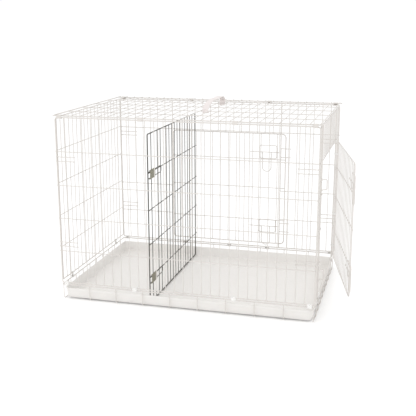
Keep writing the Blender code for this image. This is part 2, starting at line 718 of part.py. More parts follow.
def build():
    clear_scene()
    coated = finish("coated_wire", (0.80, 0.78, 0.75), 0.35, 0.0)
    graphite = finish("graphite_wire", (0.045, 0.050, 0.045), 0.40, 0.2)
    zinc = finish("zinc_plate", (0.50, 0.48, 0.40), 0.35, 1.0)
    bright = finish("clip_sheet", (0.88, 0.87, 0.85), 0.30, 0.3)
    tray = finish("pan_plastic", (0.72, 0.71, 0.69), 0.30, 0.0)
    grip = finish("handle_plastic", (0.62, 0.55, 0.53), 0.45, 0.0)

    base_grid(coated)
    pan(tray)
    front_panel(coated)
    back_panel(coated)
    left = left_end_panel(coated)
    right = right_end_panel(coated)
    top_panel(coated)
    clips(bright)

    hang([left], LEFT.at(DEPTH / 2, END_FOOT_Z), "left_end_fold_axis")
    hang([right], RIGHT.at(DEPTH / 2, END_FOOT_Z), "right_end_fold_axis")

    back_door = Door("back_door", BACK, PANEL_INSET + BACK_DOOR_HINGE_BAY * PITCH,
                     PANEL_INSET + BACK_DOOR_LATCH_BAY * PITCH)
    right_door = Door("right_door", RIGHT, END_INSET + RIGHT_DOOR_HINGE_BAY * END_PITCH,
                      END_INSET + RIGHT_DOOR_LATCH_BAY * END_PITCH)
    for door, angle in ((back_door, 0.0), (right_door, RIGHT_DOOR_OPEN)):
        pieces = [door_panel(door, coated)]
        for place, z in zip(("upper", "lower"), LATCH_Z):
            pieces.append(latch_guide(door, f"{door.name}_{place}_guide", z, coated))
            pieces.append(latch_bolt(door, f"{door.name}_{place}_bolt", z, coated))
            latch_keeper(door, f"{door.name}_{place}_keeper", z, coated)
        for number, z in enumerate(HINGE_RING_Z, start=1):
            hinge_ring(door, f"{door.name}_hinge_ring_{number}", z, bright)
        hang(pieces, door.axis(), door.name + "_hinge_axis", angle)

    divider_panel(graphite)
    for place, z in zip(("upper", "lower"), DIVIDER_LATCH_Z):
        divider_bolt(f"divider_{place}_bolt", z, graphite)
        divider_bracket(f"divider_{place}_bracket", z, zinc)
    carry_handle(grip)


build()
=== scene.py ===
"""The finished look of a folding wire dog crate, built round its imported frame.

Every wire is a round tube carried along its own line, every sheet-metal clip a thin strip wrapped
round its wires, and the pan one moulded shell. Lengths are metres. X runs along the crate, Y from
front to back and Z up, and the origin is the middle of the floor that the crate stands on.
"""

import json
import math

import bpy
import numpy as np
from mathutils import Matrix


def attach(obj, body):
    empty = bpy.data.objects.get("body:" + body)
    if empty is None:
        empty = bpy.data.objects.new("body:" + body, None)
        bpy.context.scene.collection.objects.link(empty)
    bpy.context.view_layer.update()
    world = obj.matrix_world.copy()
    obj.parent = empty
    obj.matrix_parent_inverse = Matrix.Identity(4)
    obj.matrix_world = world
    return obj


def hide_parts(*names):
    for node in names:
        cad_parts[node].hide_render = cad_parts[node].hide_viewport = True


bl_info = {
    "name": "Wire Dog Crate",
    "version": (1, 0, 0),
    "blender": (4, 5, 0),
    "location": "3D View > Sidebar > Crate",
    "description": "Builds a folding wire crate with its doors, divider, pan and studio",
    "category": "Object",
}

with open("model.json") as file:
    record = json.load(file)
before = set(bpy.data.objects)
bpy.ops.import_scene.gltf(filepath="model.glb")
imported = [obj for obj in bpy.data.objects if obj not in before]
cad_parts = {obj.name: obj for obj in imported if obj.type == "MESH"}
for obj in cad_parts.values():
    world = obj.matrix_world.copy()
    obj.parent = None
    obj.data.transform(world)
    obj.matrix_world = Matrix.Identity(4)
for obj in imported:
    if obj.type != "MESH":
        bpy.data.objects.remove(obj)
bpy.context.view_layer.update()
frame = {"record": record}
BODIES = frame["record"]["behaviour"]["bodies"]
BODY_OF = {node: body for body, nodes in BODIES.items() for node in nodes}

# ---- how the wires lie: distances out from a panel's own plane -----------------------------------
ROW_LAYER = 0.0042
TOP_LAYER = 0.0038
GUIDE_LAYER = 0.0096
BOLT_LAYER = 0.0045
BOLT_HANDLE_LAYER = 0.0145
KEEPER_LAYER = 0.0047
KEEPER_NOSE = 0.0215
DIVIDER_BOLT_LAYER = 0.0090
WELD_DEPTH = 0.0002

# ---- the long sides and the ends -----------------------------------------------------------------
PANEL_INSET = 0.0065
PANEL_SPACES = 28
PANEL_FOOT_Z = 0.0777
SIDE_ROWS = (0.645, 0.503, 0.362, 0.220)
CORNER_ROUND = 0.012
FOOT_ROUND = 0.006
OVERHANG = 0.0035
KEEPER_PAIR_Z = (0.614, 0.2495)
KEEPER_PAIR_GAP = 0.018
KEEPER_PAIR_LENGTH = 0.0825
END_INSET = 0.0145
END_SPACES = 18
END_FOOT_Z = 0.0885
END_ROWS = (0.647, 0.509, 0.370, 0.231)
END_OVERHANG = 0.0015

# ---- the base grid, the pan and the top ----------------------------------------------------------
BASE_RAIL_Z = 0.0687
BASE_INSET = 0.006
BASE_ROUND = 0.004
BASE_WIRE_COUNT = 10
BASE_FIRST_WIRE = 0.0105
FLOOR_RUNNER_COUNT = 9
FLOOR_RUNNER_FIRST = 0.0645
FLOOR_BEND = 0.012
PAN_FLOOR_Z = 0.0078
PAN_RIM_Z = 0.052
PAN_WALL = 0.0020
PAN_RIM_INSET = 0.0105
PAN_LIP_WIDTH = 0.0030
PAN_LIP_DROP = 0.0090
PAN_TAPER = 0.0050
PAN_CORNER = 0.034
TOP_WIRE_Z = 0.7925
TOP_CROSS = (0.145, 0.290, 0.434, 0.579)
TOP_EDGE_INSET = 0.0075
TOP_OVERHANG = 0.004

# ---- the doors and their latches -----------------------------------------------------------------
DOOR_STANDOFF = 0.0096
DOOR_TOP_Z = 0.638
DOOR_FOOT_Z = 0.095
DOOR_ROWS = (0.513, 0.373, 0.211)
DOOR_OVERLAP = 0.022
DOOR_SPACES = 14
DOOR_ROUND = 0.018
RIGHT_DOOR_OPEN = math.radians(12.5)
BACK_DOOR_BAYS = (7, 21)
RIGHT_DOOR_BAYS = (15, 2)
HINGE_RING_Z = (0.580, 0.300, 0.150)
LATCH_Z = (0.548, 0.179)
GUIDE_WIDTH = 0.084
GUIDE_HEIGHT = 0.064
GUIDE_FROM_EDGE = 0.044
GUIDE_ROUND = 0.010
BOLT_LENGTH = 0.146
BOLT_TIP_FROM_EDGE = 0.0285
BOLT_HANDLE_WIDTH = 0.042
BOLT_HANDLE_DROP = 0.096
BOLT_HANDLE_KNEE = 0.012
BOLT_HANDLE_SHIFT = 0.007
BOLT_HANDLE_ROUND = 0.0195
KEEPER_GAP = 0.042
KEEPER_LEG = 0.052
KEEPER_SHIFT = 0.0025
KEEPER_ROUND = 0.0065

# ---- the sheet-metal pieces ----------------------------------------------------------------------
CLIP_WIDTH = 0.019
CLIP_REACH = 0.0038
CLIP_LIP = 0.0012
CLIP_ROUND = 0.0022
CLIP_BAYS = (0, 8, 19, 27)
BACK_CLIP_BAYS = (0, 8, 14, 19, 27)
TOP_CLIP_BAYS = (0, 9, 19, 27)
END_CLIP_BAYS = (2, 15)
RING_REACH = 0.0041
RING_WIDTH = 0.006
RING_ROUND = 0.0024
RING_GAP = (-0.0010, 0.0030)

# ---- the divider and the carry handle ------------------------------------------------------------
DIVIDER_X = 0.3955
DIVIDER_FRONT = 0.0235
DIVIDER_REAR = 0.7205
DIVIDER_PITCH = 0.040
DIVIDER_WIRES = 16
DIVIDER_TOP_Z = 0.728
DIVIDER_FOOT_Z = 0.0140
DIVIDER_ROWS = (0.571, 0.416, 0.270, 0.128)
DIVIDER_LATCH_Z = (0.5645, 0.1215)
DIVIDER_ROUND = 0.005
DIVIDER_OVERHANG = (0.004, 0.006)
HAIRPIN_SPAN = (-0.006, 0.165)
HAIRPIN_GAP = 0.027
HAIRPIN_ROUND = 0.010
BRACKET_MIDDLE = 0.048
BRACKET_WIDTH = 0.064
BRACKET_LAYERS = (0.0072, 0.0124)
BRACKET_REACH = 0.0042
BRACKET_ROUND = 0.0012
HANDLE_BAY = 14.5
HANDLE_WIDTH = 0.026
HANDLE_THICKNESS = 0.0034
HANDLE_HOOK = 0.0046
HANDLE_RISE = ((-0.004, 0.010), (0.016, 0.022), (0.050, 0.034), (0.120, 0.0385))
HANDLE_FALL = ((-0.040, 0.0385), (-0.006, 0.034), (0.010, 0.020))
HANDLE_NEAR_TURN = (20, -180)
HANDLE_FAR_TURN = (0, -200)

# ---- how finely the surfaces are cut -------------------------------------------------------------
WIRE_SIDES = 12
DOME_ANGLES = np.radians((18.0, 45.0, 90.0))
BEND_STEPS = 6
BEAD_SIDES = 8
BEAD_RINGS = 3
CROSSING_BEAD = 0.62
ROOT_BEAD = 0.7
HOOK_STEPS = 12
ARCH_CUTS = 2
SHARP_ANGLE = math.radians(40)

# ---- the studio ----------------------------------------------------------------------------------
FLOOR_REACH = 9.0
FLOOR_GLOW = 0.07
CAMERA_PLACE = (0.8636, -3.2212, 1.1940)
CAMERA_PITCH = -0.2478
CAMERA_YAW = 0.2597
CAMERA_LENS = 66.49
CAMERA_SENSOR = 36.0
SKY_STRENGTH = 1.02
LAMPS = (("key", (-1.7, -1.9, 4.2), 2.6, 30.0), ("fill", (2.4, -1.8, 3.2), 2.4, 9.0))

X, Y, Z = np.eye(3)
OBLIQUE = np.array((0.37, 0.52, 0.77))

# ---- what a user would change --------------------------------------------------------------------


def distance(name, description, value, least):
    """A length property in metres."""
    return bpy.props.FloatProperty(name=name, description=description, default=value, min=least,
                                   subtype="DISTANCE", unit="LENGTH")


class CrateSizes(bpy.types.PropertyGroup):
    """The crate's main sizes and its wire gauges."""

    length: distance("Length", "Length of the crate over its base", 1.092, 0.3)
    depth: distance("Depth", "Depth of the crate from front to back", 0.745, 0.2)
    rail_height: distance("Rail height", "Height of the panels' top wires", 0.785, 0.2)
    mesh_wire: distance("Mesh wire", "Diameter of the upright wires", 0.0030, 0.001)
    row_wire: distance("Row wire", "Diameter of the rows and latches", 0.0036, 0.001)
    rail_wire: distance("Rail wire", "Diameter of the perimeter wires", 0.0048, 0.001)
    pin_wire: distance("Pin wire", "Diameter of the divider's hairpins", 0.0032, 0.001)
    sheet: distance("Sheet", "Thickness of the clips and brackets", 0.0010, 0.0003)


def colour(name, description, value):
    """A colour property with the usual range."""
    return bpy.props.FloatVectorProperty(name=name, description=description, default=value,
                                         min=0, max=1, size=3, subtype="COLOR")


class CrateColours(bpy.types.PropertyGroup):
    """The colours of the crate's finishes."""

    coating: colour("Coating", "Off-white coating of the wires", (0.700, 0.668, 0.636))
    graphite: colour("Graphite", "Dark coating of the divider", (0.048, 0.044, 0.032))
    zinc: colour("Zinc", "Yellowish plating of the divider's brackets", (0.185, 0.175, 0.120))
    clip: colour("Clip", "Bright sheet metal of the clips and rings", (0.86, 0.85, 0.83))
    pan: colour("Pan", "Moulded floor pan", (0.82, 0.80, 0.775))
    handle: colour("Handle", "Moulded carry handle", (0.79, 0.735, 0.72))
    floor: colour("Floor", "Pale studio floor", (0.96, 0.96, 0.96))


# ---- planes of the crate -------------------------------------------------------------------------


class Plane:
    """A flat panel's own axes: a corner point and its along, up and outward directions."""

    def __init__(self, corner, along, up, out):
        self.corner = np.array(corner, float)
        self.along = np.array(along, float)
        self.up = np.array(up, float)
        self.out = np.array(out, float)

    def at(self, u, v, n=0.0):
        """The point corner + u along + v up + n out, for numbers or for whole arrays."""
        u, v, n = np.broadcast_arrays(np.asarray(u, float), v, n)
        u, v, n = u[..., None], v[..., None], n[..., None]
        return self.corner + u * self.along + v * self.up + n * self.out

    def lifted(self, n):
        """The same plane moved outward by n."""
        return Plane(self.corner + n * self.out, self.along, self.up, self.out)


def planes():
    """The crate's planes, worked out from its length and depth."""
    sizes = bpy.context.scene.crate_sizes
    left, right = -sizes.length / 2, sizes.length / 2
    front, back = -sizes.depth / 2, sizes.depth / 2
    return {
        "front": Plane((left, front + PANEL_INSET, 0), X, Z, -Y),
        "back": Plane((left, back - PANEL_INSET, 0), X, Z, Y),
        "left": Plane((left + PANEL_INSET, front, 0), Y, Z, -X),
        "right": Plane((right - PANEL_INSET, front, 0), Y, Z, X),
        "top": Plane((left, front, TOP_WIRE_Z), X, Y, Z),
        "divider": Plane((left + DIVIDER_X, front, 0), Y, Z, X),
        "plan": Plane((left, front, 0), X, Y, Z),
    }


def side_pitch():
    return (bpy.context.scene.crate_sizes.length - 2 * PANEL_INSET) / PANEL_SPACES


def end_pitch():
    return (bpy.context.scene.crate_sizes.depth - 2 * END_INSET) / END_SPACES


# ---- surfaces: each is (points, faces, weld share of each point) ---------------------------------


def unit(v):
    """Each vector divided by its length."""
    return v / np.linalg.norm(v, axis=-1, keepdims=True)


def grid_faces(rows, columns, wrap_rows=False):
    """The quads of a grid whose columns close on themselves: corner (i, j) joins (i, j + 1),
    (i + 1, j + 1) and (i + 1, j), with the last row joined to the first where wrap_rows is set."""
    i = np.arange(rows if wrap_rows else rows - 1)[:, None]
    j = np.arange(columns)[None, :]
    following, beside = (i + 1) % rows, (j + 1) % columns
    row, later_row = i * columns, following * columns
    quads = (row + j, row + beside, later_row + beside, later_row + j)
    return np.stack(quads, -1).reshape(-1, 4)


def pole_faces(ring, pole, reverse):
    """Triangles from each side of a ring of point numbers to its pole, the last number repeated."""
    ahead = np.roll(ring, -1)
    pair = (ahead, ring) if reverse else (ring, ahead)
    return np.stack((*pair, np.full_like(ring, pole)), -1)


def signed_volume(points, quads):
    """A sixth of the sum of each triangle's triple product: positive if the faces point out."""
    a, b, c, d = (points[quads[:, k]] for k in range(4))
    return (np.einsum("ij,ij->", a, np.cross(b, c)) + np.einsum("ij,ij->", a, np.cross(c, d))) / 6


def loft(rings, closed=False, weld=0.0):
    """A surface through a stack of rings (count, sides, 3). An open stack ends in two poles, each
    the mean of its last ring. The faces are turned over where they would point inward."""
    rows, columns = rings.shape[:2]
    points = rings.reshape(-1, 3)
    quads = grid_faces(rows, columns, wrap_rows=closed)
    inward = signed_volume(points - points.mean(0), quads) < 0
    faces = [quads]
    if not closed:
        first, last = np.arange(columns), np.arange(columns) + (rows - 1) * columns
        points = np.vstack((points, rings[0].mean(0), rings[-1].mean(0)))
        count = rows * columns
        faces += [pole_faces(first, count, True), pole_faces(last, count + 1, False)]
    if inward:
        faces = [f[:, ::-1] for f in faces]
    return points, faces, np.full(len(points), weld)


def circle(radius, sides=WIRE_SIDES):
    """Points (radius cos a, radius sin a) at equal angles round the centre."""
    a = np.arange(sides) * (2 * math.pi / sides)
    return radius * np.stack((np.cos(a), np.sin(a)), -1)


def carry(path, section, towards, closed=False, taper=None):
    """A section carried along a path: each ring is path + a side + b top, where side is the path's
    direction crossed with towards, top is square to both, and (a, b) runs round the section."""
    ahead = np.roll(path, -1, 0) - path
    behind = path - np.roll(path, 1, 0)
    if not closed:
        ahead[-1], behind[0] = behind[-1], ahead[0]
    direction = unit(unit(ahead) + unit(behind))
    side = unit(np.cross(direction, towards))
    top = np.cross(side, direction)
    spread = np.ones(len(path)) if taper is None else taper
    across = side[:, None] * section[None, :, :1] + top[:, None] * section[None, :, 1:]
    return loft(path[:, None] + across * spread[:, None, None], closed)


def domed(path, radius):
    """A path whose two ends have extra points, with the wire's share of its full radius at each: at
    an angle a of a quarter circle the point lies radius (1 - cos a) in, and the share is sin a."""
    inset, share = radius * (1 - np.cos(DOME_ANGLES)), np.sin(DOME_ANGLES)
    start, end = unit(path[1] - path[0]), unit(path[-2] - path[-1])
    head = path[0] + inset[:, None] * start
    tail = (path[-1] + inset[:, None] * end)[::-1]
    shares = np.concatenate((share, np.ones(len(path) - 2), share[::-1]))
    return np.vstack((head, path[1:-1], tail)), shares


def wire(path, gauge, towards=OBLIQUE):
    """An open round wire along a path, with rounded ends."""
    line, taper = domed(np.asarray(path, float), gauge / 2)
    return carry(line, circle(gauge / 2), towards, taper=taper)


def wires(starts, ends, gauge, towards):
    """Straight round wires from starts to ends, one for each row of the two arrays."""
    starts, ends = np.broadcast_arrays(np.atleast_2d(starts), np.atleast_2d(ends))
    return [wire(pair, gauge, towards) for pair in np.stack((starts, ends), 1)]


def bent(points, radius, steps=BEND_STEPS, closed=False):
    """A polyline with each corner turned into an arc: the arc's centre lies on the corner's
    bisector, radius / sin(half the corner's angle) in, and its points turn evenly from one leg to
    the other."""
    points = np.asarray(points, float)
    back, ahead = unit(np.roll(points, 1, 0) - points), unit(np.roll(points, -1, 0) - points)
    half = np.arccos(np.clip(np.sum(back * ahead, 1), -1, 1)) / 2
    pieces = []
    for i, corner in enumerate(points):
        if not closed and i in (0, len(points) - 1):
            pieces.append(corner[None])
            continue
        centre = corner + unit(back[i] + ahead[i]) * radius / math.sin(half[i])
        first = unit(corner + back[i] * radius / math.tan(half[i]) - centre)
        last = unit(corner + ahead[i] * radius / math.tan(half[i]) - centre)
        turn = math.acos(np.clip(first @ last, -1, 1))
        t = np.linspace(0, 1, steps + 1)[:, None]
        arc = (np.sin((1 - t) * turn) * first + np.sin(t * turn) * last) / math.sin(turn)
        pieces.append(centre + radius * arc)
    return np.vstack(pieces)


def ribbon(thickness, width):
    """The section of a sheet strip: a rectangle with its corners cut by a quarter thickness."""
    a, b, c = thickness / 2, width / 2, thickness / 4
    return np.array(((a, b - c), (a - c, b), (c - a, b), (-a, b - c),
                     (-a, c - b), (c - a, -b), (a - c, -b), (a, c - b)))


def beads(centres, radius, out):
    """Small weld beads: spheres at the centres, flattened to two thirds along out. A point is
    centre + radius (sin p cos a, sin p sin a, cos p), for p from pole to pole and a round it."""
    p = np.linspace(0, math.pi, BEAD_RINGS + 2)[1:-1, None]
    a = np.arange(BEAD_SIDES)[None] * (2 * math.pi / BEAD_SIDES)
    ball = np.stack((np.sin(p) * np.cos(a), np.sin(p) * np.sin(a), np.cos(p) + 0 * a), -1) * radius
    ball = ball - (ball @ out)[..., None] * out / 3
    return [loft(centre + ball, weld=1.0) for centre in np.atleast_2d(centres)]


def crossings(plane, us, vs, layer, gauge):
    """Weld beads wherever the uprights at us cross the rows at vs."""
    u, v = (g.ravel() for g in np.meshgrid(us, vs))
    return beads(plane.at(u, v, layer), gauge * CROSSING_BEAD, plane.out) if len(u) else []


def piece(name, node, surfaces, material):
    """One finished mesh of several surfaces, on its node's body and in the node's place."""
    offsets = np.cumsum([0] + [len(points) for points, _, _ in surfaces])
    points = np.vstack([points for points, _, _ in surfaces])
    faces = [face for (_, groups, _), offset in zip(surfaces, offsets)
             for group in groups for face in (group + offset).tolist()]
    mesh = bpy.data.meshes.new(name)
    mesh.from_pydata(points, [], faces)
    weld = mesh.attributes.new("weld", "FLOAT", "POINT")
    weld.data.foreach_set("value", np.concatenate([w for _, _, w in surfaces]).astype(np.float32))
    mesh.materials.append(bpy.data.materials[material])
    mesh.shade_smooth()
    mesh.set_sharp_from_angle(angle=SHARP_ANGLE)
    item = bpy.data.objects.new(name, mesh)
    bpy.context.scene.collection.objects.link(item)
    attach(item, BODY_OF[node])
    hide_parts(node)
    return item


# ---- panels --------------------------------------------------------------------------------------


def outline(plane, u0, u1, v0, v1, top_round, foot_round):
    """A perimeter wire's closed path: a rectangle rounded differently at the top and the foot."""
    foot = bent(plane.at((u0, u0, u1, u1), (v1, v0, v0, v1)), foot_round)[1:-1]
    top = bent(plane.at((u1, u1, u0, u0), (v0, v1, v1, v0)), top_round)[1:-1]
    return np.vstack((foot, top))


def lattice(plane, ring, uprights, rows, heavy=()):
    """The surfaces of one welded panel: a perimeter wire, uprights behind the rows, rows on the
    outside, and a bead at each crossing. uprights and heavy are (u, low, high), and rows are
    (v, first, last). The heavy uprights are as thick as the perimeter wire and lie in its plane."""
    sizes = bpy.context.scene.crate_sizes
    behind = ROW_LAYER - (sizes.row_wire + sizes.mesh_wire) / 2 + WELD_DEPTH
    made = [carry(ring, circle(sizes.rail_wire / 2), plane.out, closed=True)]
    u, low, high = np.array(uprights).T
    made += wires(plane.at(u, low, behind), plane.at(u, high, behind), sizes.mesh_wire, plane.out)
    for place, foot, head in heavy:
        made += wires(plane.at(place, foot), plane.at(place, head), sizes.rail_wire, plane.out)
    v, first, last = np.array(rows).T
    starts, ends = plane.at(first, v, ROW_LAYER), plane.at(last, v, ROW_LAYER)
    made += wires(starts, ends, sizes.row_wire, plane.out)
    joint = behind + sizes.mesh_wire / 2
    for level, start, end in rows:
        crossed = u[(u > start) & (u < end) & (low - OVERHANG <= level) & (high >= level)]
        made += crossings(plane, crossed, level, joint, sizes.row_wire)
    return made


def corner_keepers():
    """Short pairs of rows at each end of a long side, as (height, first, last)."""
    length = bpy.context.scene.crate_sizes.length
    spans = ((PANEL_INSET - OVERHANG, PANEL_INSET + KEEPER_PAIR_LENGTH),
             (length - PANEL_INSET - KEEPER_PAIR_LENGTH, length - PANEL_INSET + OVERHANG))
    return [(z + side * KEEPER_PAIR_GAP / 2, *span)
            for z in KEEPER_PAIR_Z for span in spans for side in (1, -1)]


def side_surfaces(plane, doorway=None):
    """A long side. With a doorway, given as two bays, the uprights between them stop above it."""
    sizes = bpy.context.scene.crate_sizes
    top, pitch = sizes.rail_height, side_pitch()
    ring = outline(plane, PANEL_INSET, sizes.length - PANEL_INSET, PANEL_FOOT_Z, top,
                   CORNER_ROUND, FOOT_ROUND)
    first, last = PANEL_INSET - OVERHANG, sizes.length - PANEL_INSET + OVERHANG
    bays = np.arange(1, PANEL_SPACES)
    if doorway is None:
        uprights = [(PANEL_INSET + i * pitch, PANEL_FOOT_Z, top) for i in bays]
        rows = [(z, first, last) for z in SIDE_ROWS] + corner_keepers()
        return lattice(plane, ring, uprights, rows)
    near, far = doorway
    above = SIDE_ROWS[0] - OVERHANG
    uprights = [(PANEL_INSET + i * pitch, above if near < i < far else PANEL_FOOT_Z, top)
                for i in bays if i not in doorway]
    heavy = [(PANEL_INSET + i * pitch, PANEL_FOOT_Z, top) for i in doorway]
    rows = [(SIDE_ROWS[0], first, last)] + corner_keepers()
    for z in SIDE_ROWS[1:]:
        rows += [(z, first, PANEL_INSET + near * pitch + OVERHANG),
                 (z, PANEL_INSET + far * pitch - OVERHANG, last)]
    return lattice(plane, ring, uprights, rows, heavy)


def end_surfaces(plane, doorway=None):
    """An end. With a doorway, given as two bays, the uprights between them stop above it."""
    sizes = bpy.context.scene.crate_sizes
    top, pitch = sizes.rail_height, end_pitch()
    ring = outline(plane, END_INSET, sizes.depth - END_INSET, END_FOOT_Z, top,
                   CORNER_ROUND, FOOT_ROUND)
    first, last = END_INSET - END_OVERHANG, sizes.depth - END_INSET + END_OVERHANG
    bays = np.arange(1, END_SPACES)
    if doorway is None:
        uprights = [(END_INSET + i * pitch, END_FOOT_Z, top) for i in bays]
        return lattice(plane, ring, uprights, [(z, first, last) for z in END_ROWS])
    near, far = sorted(doorway)
    above = END_ROWS[0] - OVERHANG
    uprights = [(END_INSET + i * pitch, above if near < i < far else END_FOOT_Z, top)
                for i in bays if i not in doorway]
    heavy = [(END_INSET + i * pitch, END_FOOT_Z, top) for i in doorway]
    rows = [(END_ROWS[0], first, last)]
    for z in END_ROWS[1:]:
        rows += [(z, first, END_INSET + near * pitch + OVERHANG),
                 (z, END_INSET + far * pitch - OVERHANG, last)]
    return lattice(plane, ring, uprights, rows, heavy)


def top_surfaces(plane):
    """The top: two edge wires and four long wires, with a wire laid across them at each pitch."""
    sizes = bpy.context.scene.crate_sizes
    start, end = -TOP_OVERHANG, sizes.length + TOP_OVERHANG
    edges = (TOP_EDGE_INSET, sizes.depth - TOP_EDGE_INSET)
    made = []
    for v in edges:
        made += wires(plane.at(start, v), plane.at(end, v), sizes.rail_wire, plane.out)
    cross = np.array(TOP_CROSS)
    lift = TOP_LAYER - sizes.mesh_wire + WELD_DEPTH
    starts, ends = plane.at(start, cross, lift), plane.at(end, cross, lift)
    made += wires(starts, ends, sizes.mesh_wire, plane.out)
    u = PANEL_INSET + np.arange(PANEL_SPACES + 1) * side_pitch()
    low, high = TOP_OVERHANG, sizes.depth - TOP_OVERHANG
    for i, place in enumerate(u):
        outer = i in (0, PANEL_SPACES)
        gauge = sizes.rail_wire if outer else sizes.mesh_wire
        lower = (sizes.rail_wire - sizes.mesh_wire) / 2 if outer else 0
        layer = TOP_LAYER - lower
        made += wires(plane.at(place, low, layer), plane.at(place, high, layer), gauge, plane.out)
    made += crossings(plane, u[1:-1], cross, lift + sizes.mesh_wire / 2, sizes.mesh_wire)
    made += crossings(plane, u[1:-1], edges, sizes.rail_wire / 2, sizes.mesh_wire)
    return made


# ---- base and pan --------------------------------------------------------------------------------


def base_surfaces(plane):
    """A rim wire held up by wires bent into long, low U shapes, which cross under the pan."""
    sizes = bpy.context.scene.crate_sizes
    near, far_u, far_v = BASE_INSET, sizes.length - BASE_INSET, sizes.depth - BASE_INSET
    corners = plane.at((near, far_u, far_u, near), (near, near, far_v, far_v), BASE_RAIL_Z)
    rim = bent(corners, BASE_ROUND, closed=True)
    made = [carry(rim, circle(sizes.rail_wire / 2), Z, closed=True)]
    runner_z = sizes.row_wire / 2
    wire_z = sizes.row_wire + sizes.mesh_wire / 2 - WELD_DEPTH
    levels = np.array((BASE_RAIL_Z, 0, 0, BASE_RAIL_Z))
    places = np.linspace(FLOOR_RUNNER_FIRST, sizes.depth - FLOOR_RUNNER_FIRST, FLOOR_RUNNER_COUNT)
    for v in places:
        bend = plane.at((near, near, far_u, far_u), v, np.maximum(levels, runner_z))
        made.append(wire(bent(bend, FLOOR_BEND), sizes.row_wire, Y))
    spots = np.linspace(BASE_FIRST_WIRE, sizes.length - BASE_FIRST_WIRE, BASE_WIRE_COUNT)
    for u in spots:
        bend = plane.at(u, (near, near, far_v, far_v), np.maximum(levels, wire_z))
        made.append(wire(bent(bend, FLOOR_BEND), sizes.mesh_wire, X))
    inner = spots[1:-1]
    return made + crossings(plane, inner, places, sizes.row_wire - WELD_DEPTH, sizes.mesh_wire)


def pan_surfaces(plane):
    """The pan: rounded rectangles stacked through the levels of its section, from the middle of its
    underside out, up the wall, over the lip, down the inside and back to its floor's middle."""
    sizes = bpy.context.scene.crate_sizes
    wall = PAN_RIM_INSET + PAN_LIP_WIDTH
    foot, floor = wall + PAN_TAPER, wall + PAN_TAPER + PAN_WALL
    inner = PAN_RIM_INSET + 2 * PAN_WALL
    lip, soft = PAN_RIM_Z - PAN_LIP_DROP, PAN_WALL / 2
    levels = ((foot + PAN_CORNER, PAN_FLOOR_Z), (foot + soft, PAN_FLOOR_Z),
              (foot, PAN_FLOOR_Z + soft), (wall, lip), (PAN_RIM_INSET + soft, lip),
              (PAN_RIM_INSET, lip + soft), (PAN_RIM_INSET, PAN_RIM_Z - soft),
              (PAN_RIM_INSET + soft, PAN_RIM_Z), (inner - soft, PAN_RIM_Z),
              (inner, PAN_RIM_Z - soft),
              (floor - soft, PAN_FLOOR_Z + 3 * PAN_WALL), (floor, PAN_FLOOR_Z + 2 * PAN_WALL),
              (floor + 2 * soft, PAN_FLOOR_Z + PAN_WALL),
              (floor + PAN_CORNER, PAN_FLOOR_Z + PAN_WALL))
    rings = []
    for inset, z in levels:
        far_u, far_v = sizes.length - inset, sizes.depth - inset
        corners = plane.at((inset, far_u, far_u, inset), (inset, inset, far_v, far_v), z)
        rings.append(bent(corners, max(PAN_CORNER - inset, PAN_WALL), closed=True))
    return [loft(np.array(rings))]


# ---- doors ---------------------------------------------------------------------------------------


class Door:
    """Where a door hangs: its plane, its hinge and free edge, and how far it stands open."""

    def __init__(self, name, plane, hinge, latch, angle):
        self.name, self.plane, self.hinge, self.latch, self.angle = name, plane, hinge, latch, angle
        self.way = 1 if latch > hinge else -1
        self.edge = latch + self.way * DOOR_OVERLAP
        self.pivot = plane.at(hinge, 0, DOOR_STANDOFF)

    def at(self, from_edge, z, out):
        """A point at a distance in from the free edge, with out from the door's own plane."""
        return self.plane.at(self.edge - self.way * np.asarray(from_edge), z, DOOR_STANDOFF + out)

    def opened(self, surfaces):
        """The surfaces turned about the hinge's upright line by the door's angle."""
        c, s = math.cos(self.angle), math.sin(self.angle)
        turn = np.array(((c, -s, 0), (s, c, 0), (0, 0, 1)))
        return [((points - self.pivot) @ turn.T + self.pivot, faces, weld)
                for points, faces, weld in surfaces]


def doors():
    """The back door, shut, and the right door, which stands a little open."""
    at = planes()
    back = [PANEL_INSET + bay * side_pitch() for bay in BACK_DOOR_BAYS]
    right = [END_INSET + bay * end_pitch() for bay in RIGHT_DOOR_BAYS]
    return (Door("back_door", at["back"], *back, 0.0),
            Door("right_door", at["right"], *right, RIGHT_DOOR_OPEN))


def door_surfaces(door):
    """A door's lattice, standing off the panel that it closes."""
    plane = door.plane.lifted(DOOR_STANDOFF)
    low, high = sorted((door.hinge, door.edge))
    ring = outline(plane, low, high, DOOR_FOOT_Z, DOOR_TOP_Z, DOOR_ROUND, DOOR_ROUND)
    places = np.linspace(low, high, DOOR_SPACES + 1)[1:-1]
    uprights = [(u, DOOR_FOOT_Z, DOOR_TOP_Z) for u in places]
    rows = [(z, low - END_OVERHANG, high + END_OVERHANG) for z in DOOR_ROWS]
    return lattice(plane, ring, uprights, rows)


def guide_surfaces(door, z):
    """A rounded rectangle of wire that holds the bolt against the door."""
    near, far = GUIDE_FROM_EDGE, GUIDE_FROM_EDGE + GUIDE_WIDTH
    low, high = z - GUIDE_HEIGHT / 2, z + GUIDE_HEIGHT / 2
    corners = door.at((near, far, far, near), np.array((low, low, high, high)), GUIDE_LAYER)
    path = bent(corners, GUIDE_ROUND, closed=True)
    gauge = bpy.context.scene.crate_sizes.row_wire
    return [carry(path, circle(gauge / 2), door.plane.out, closed=True)]


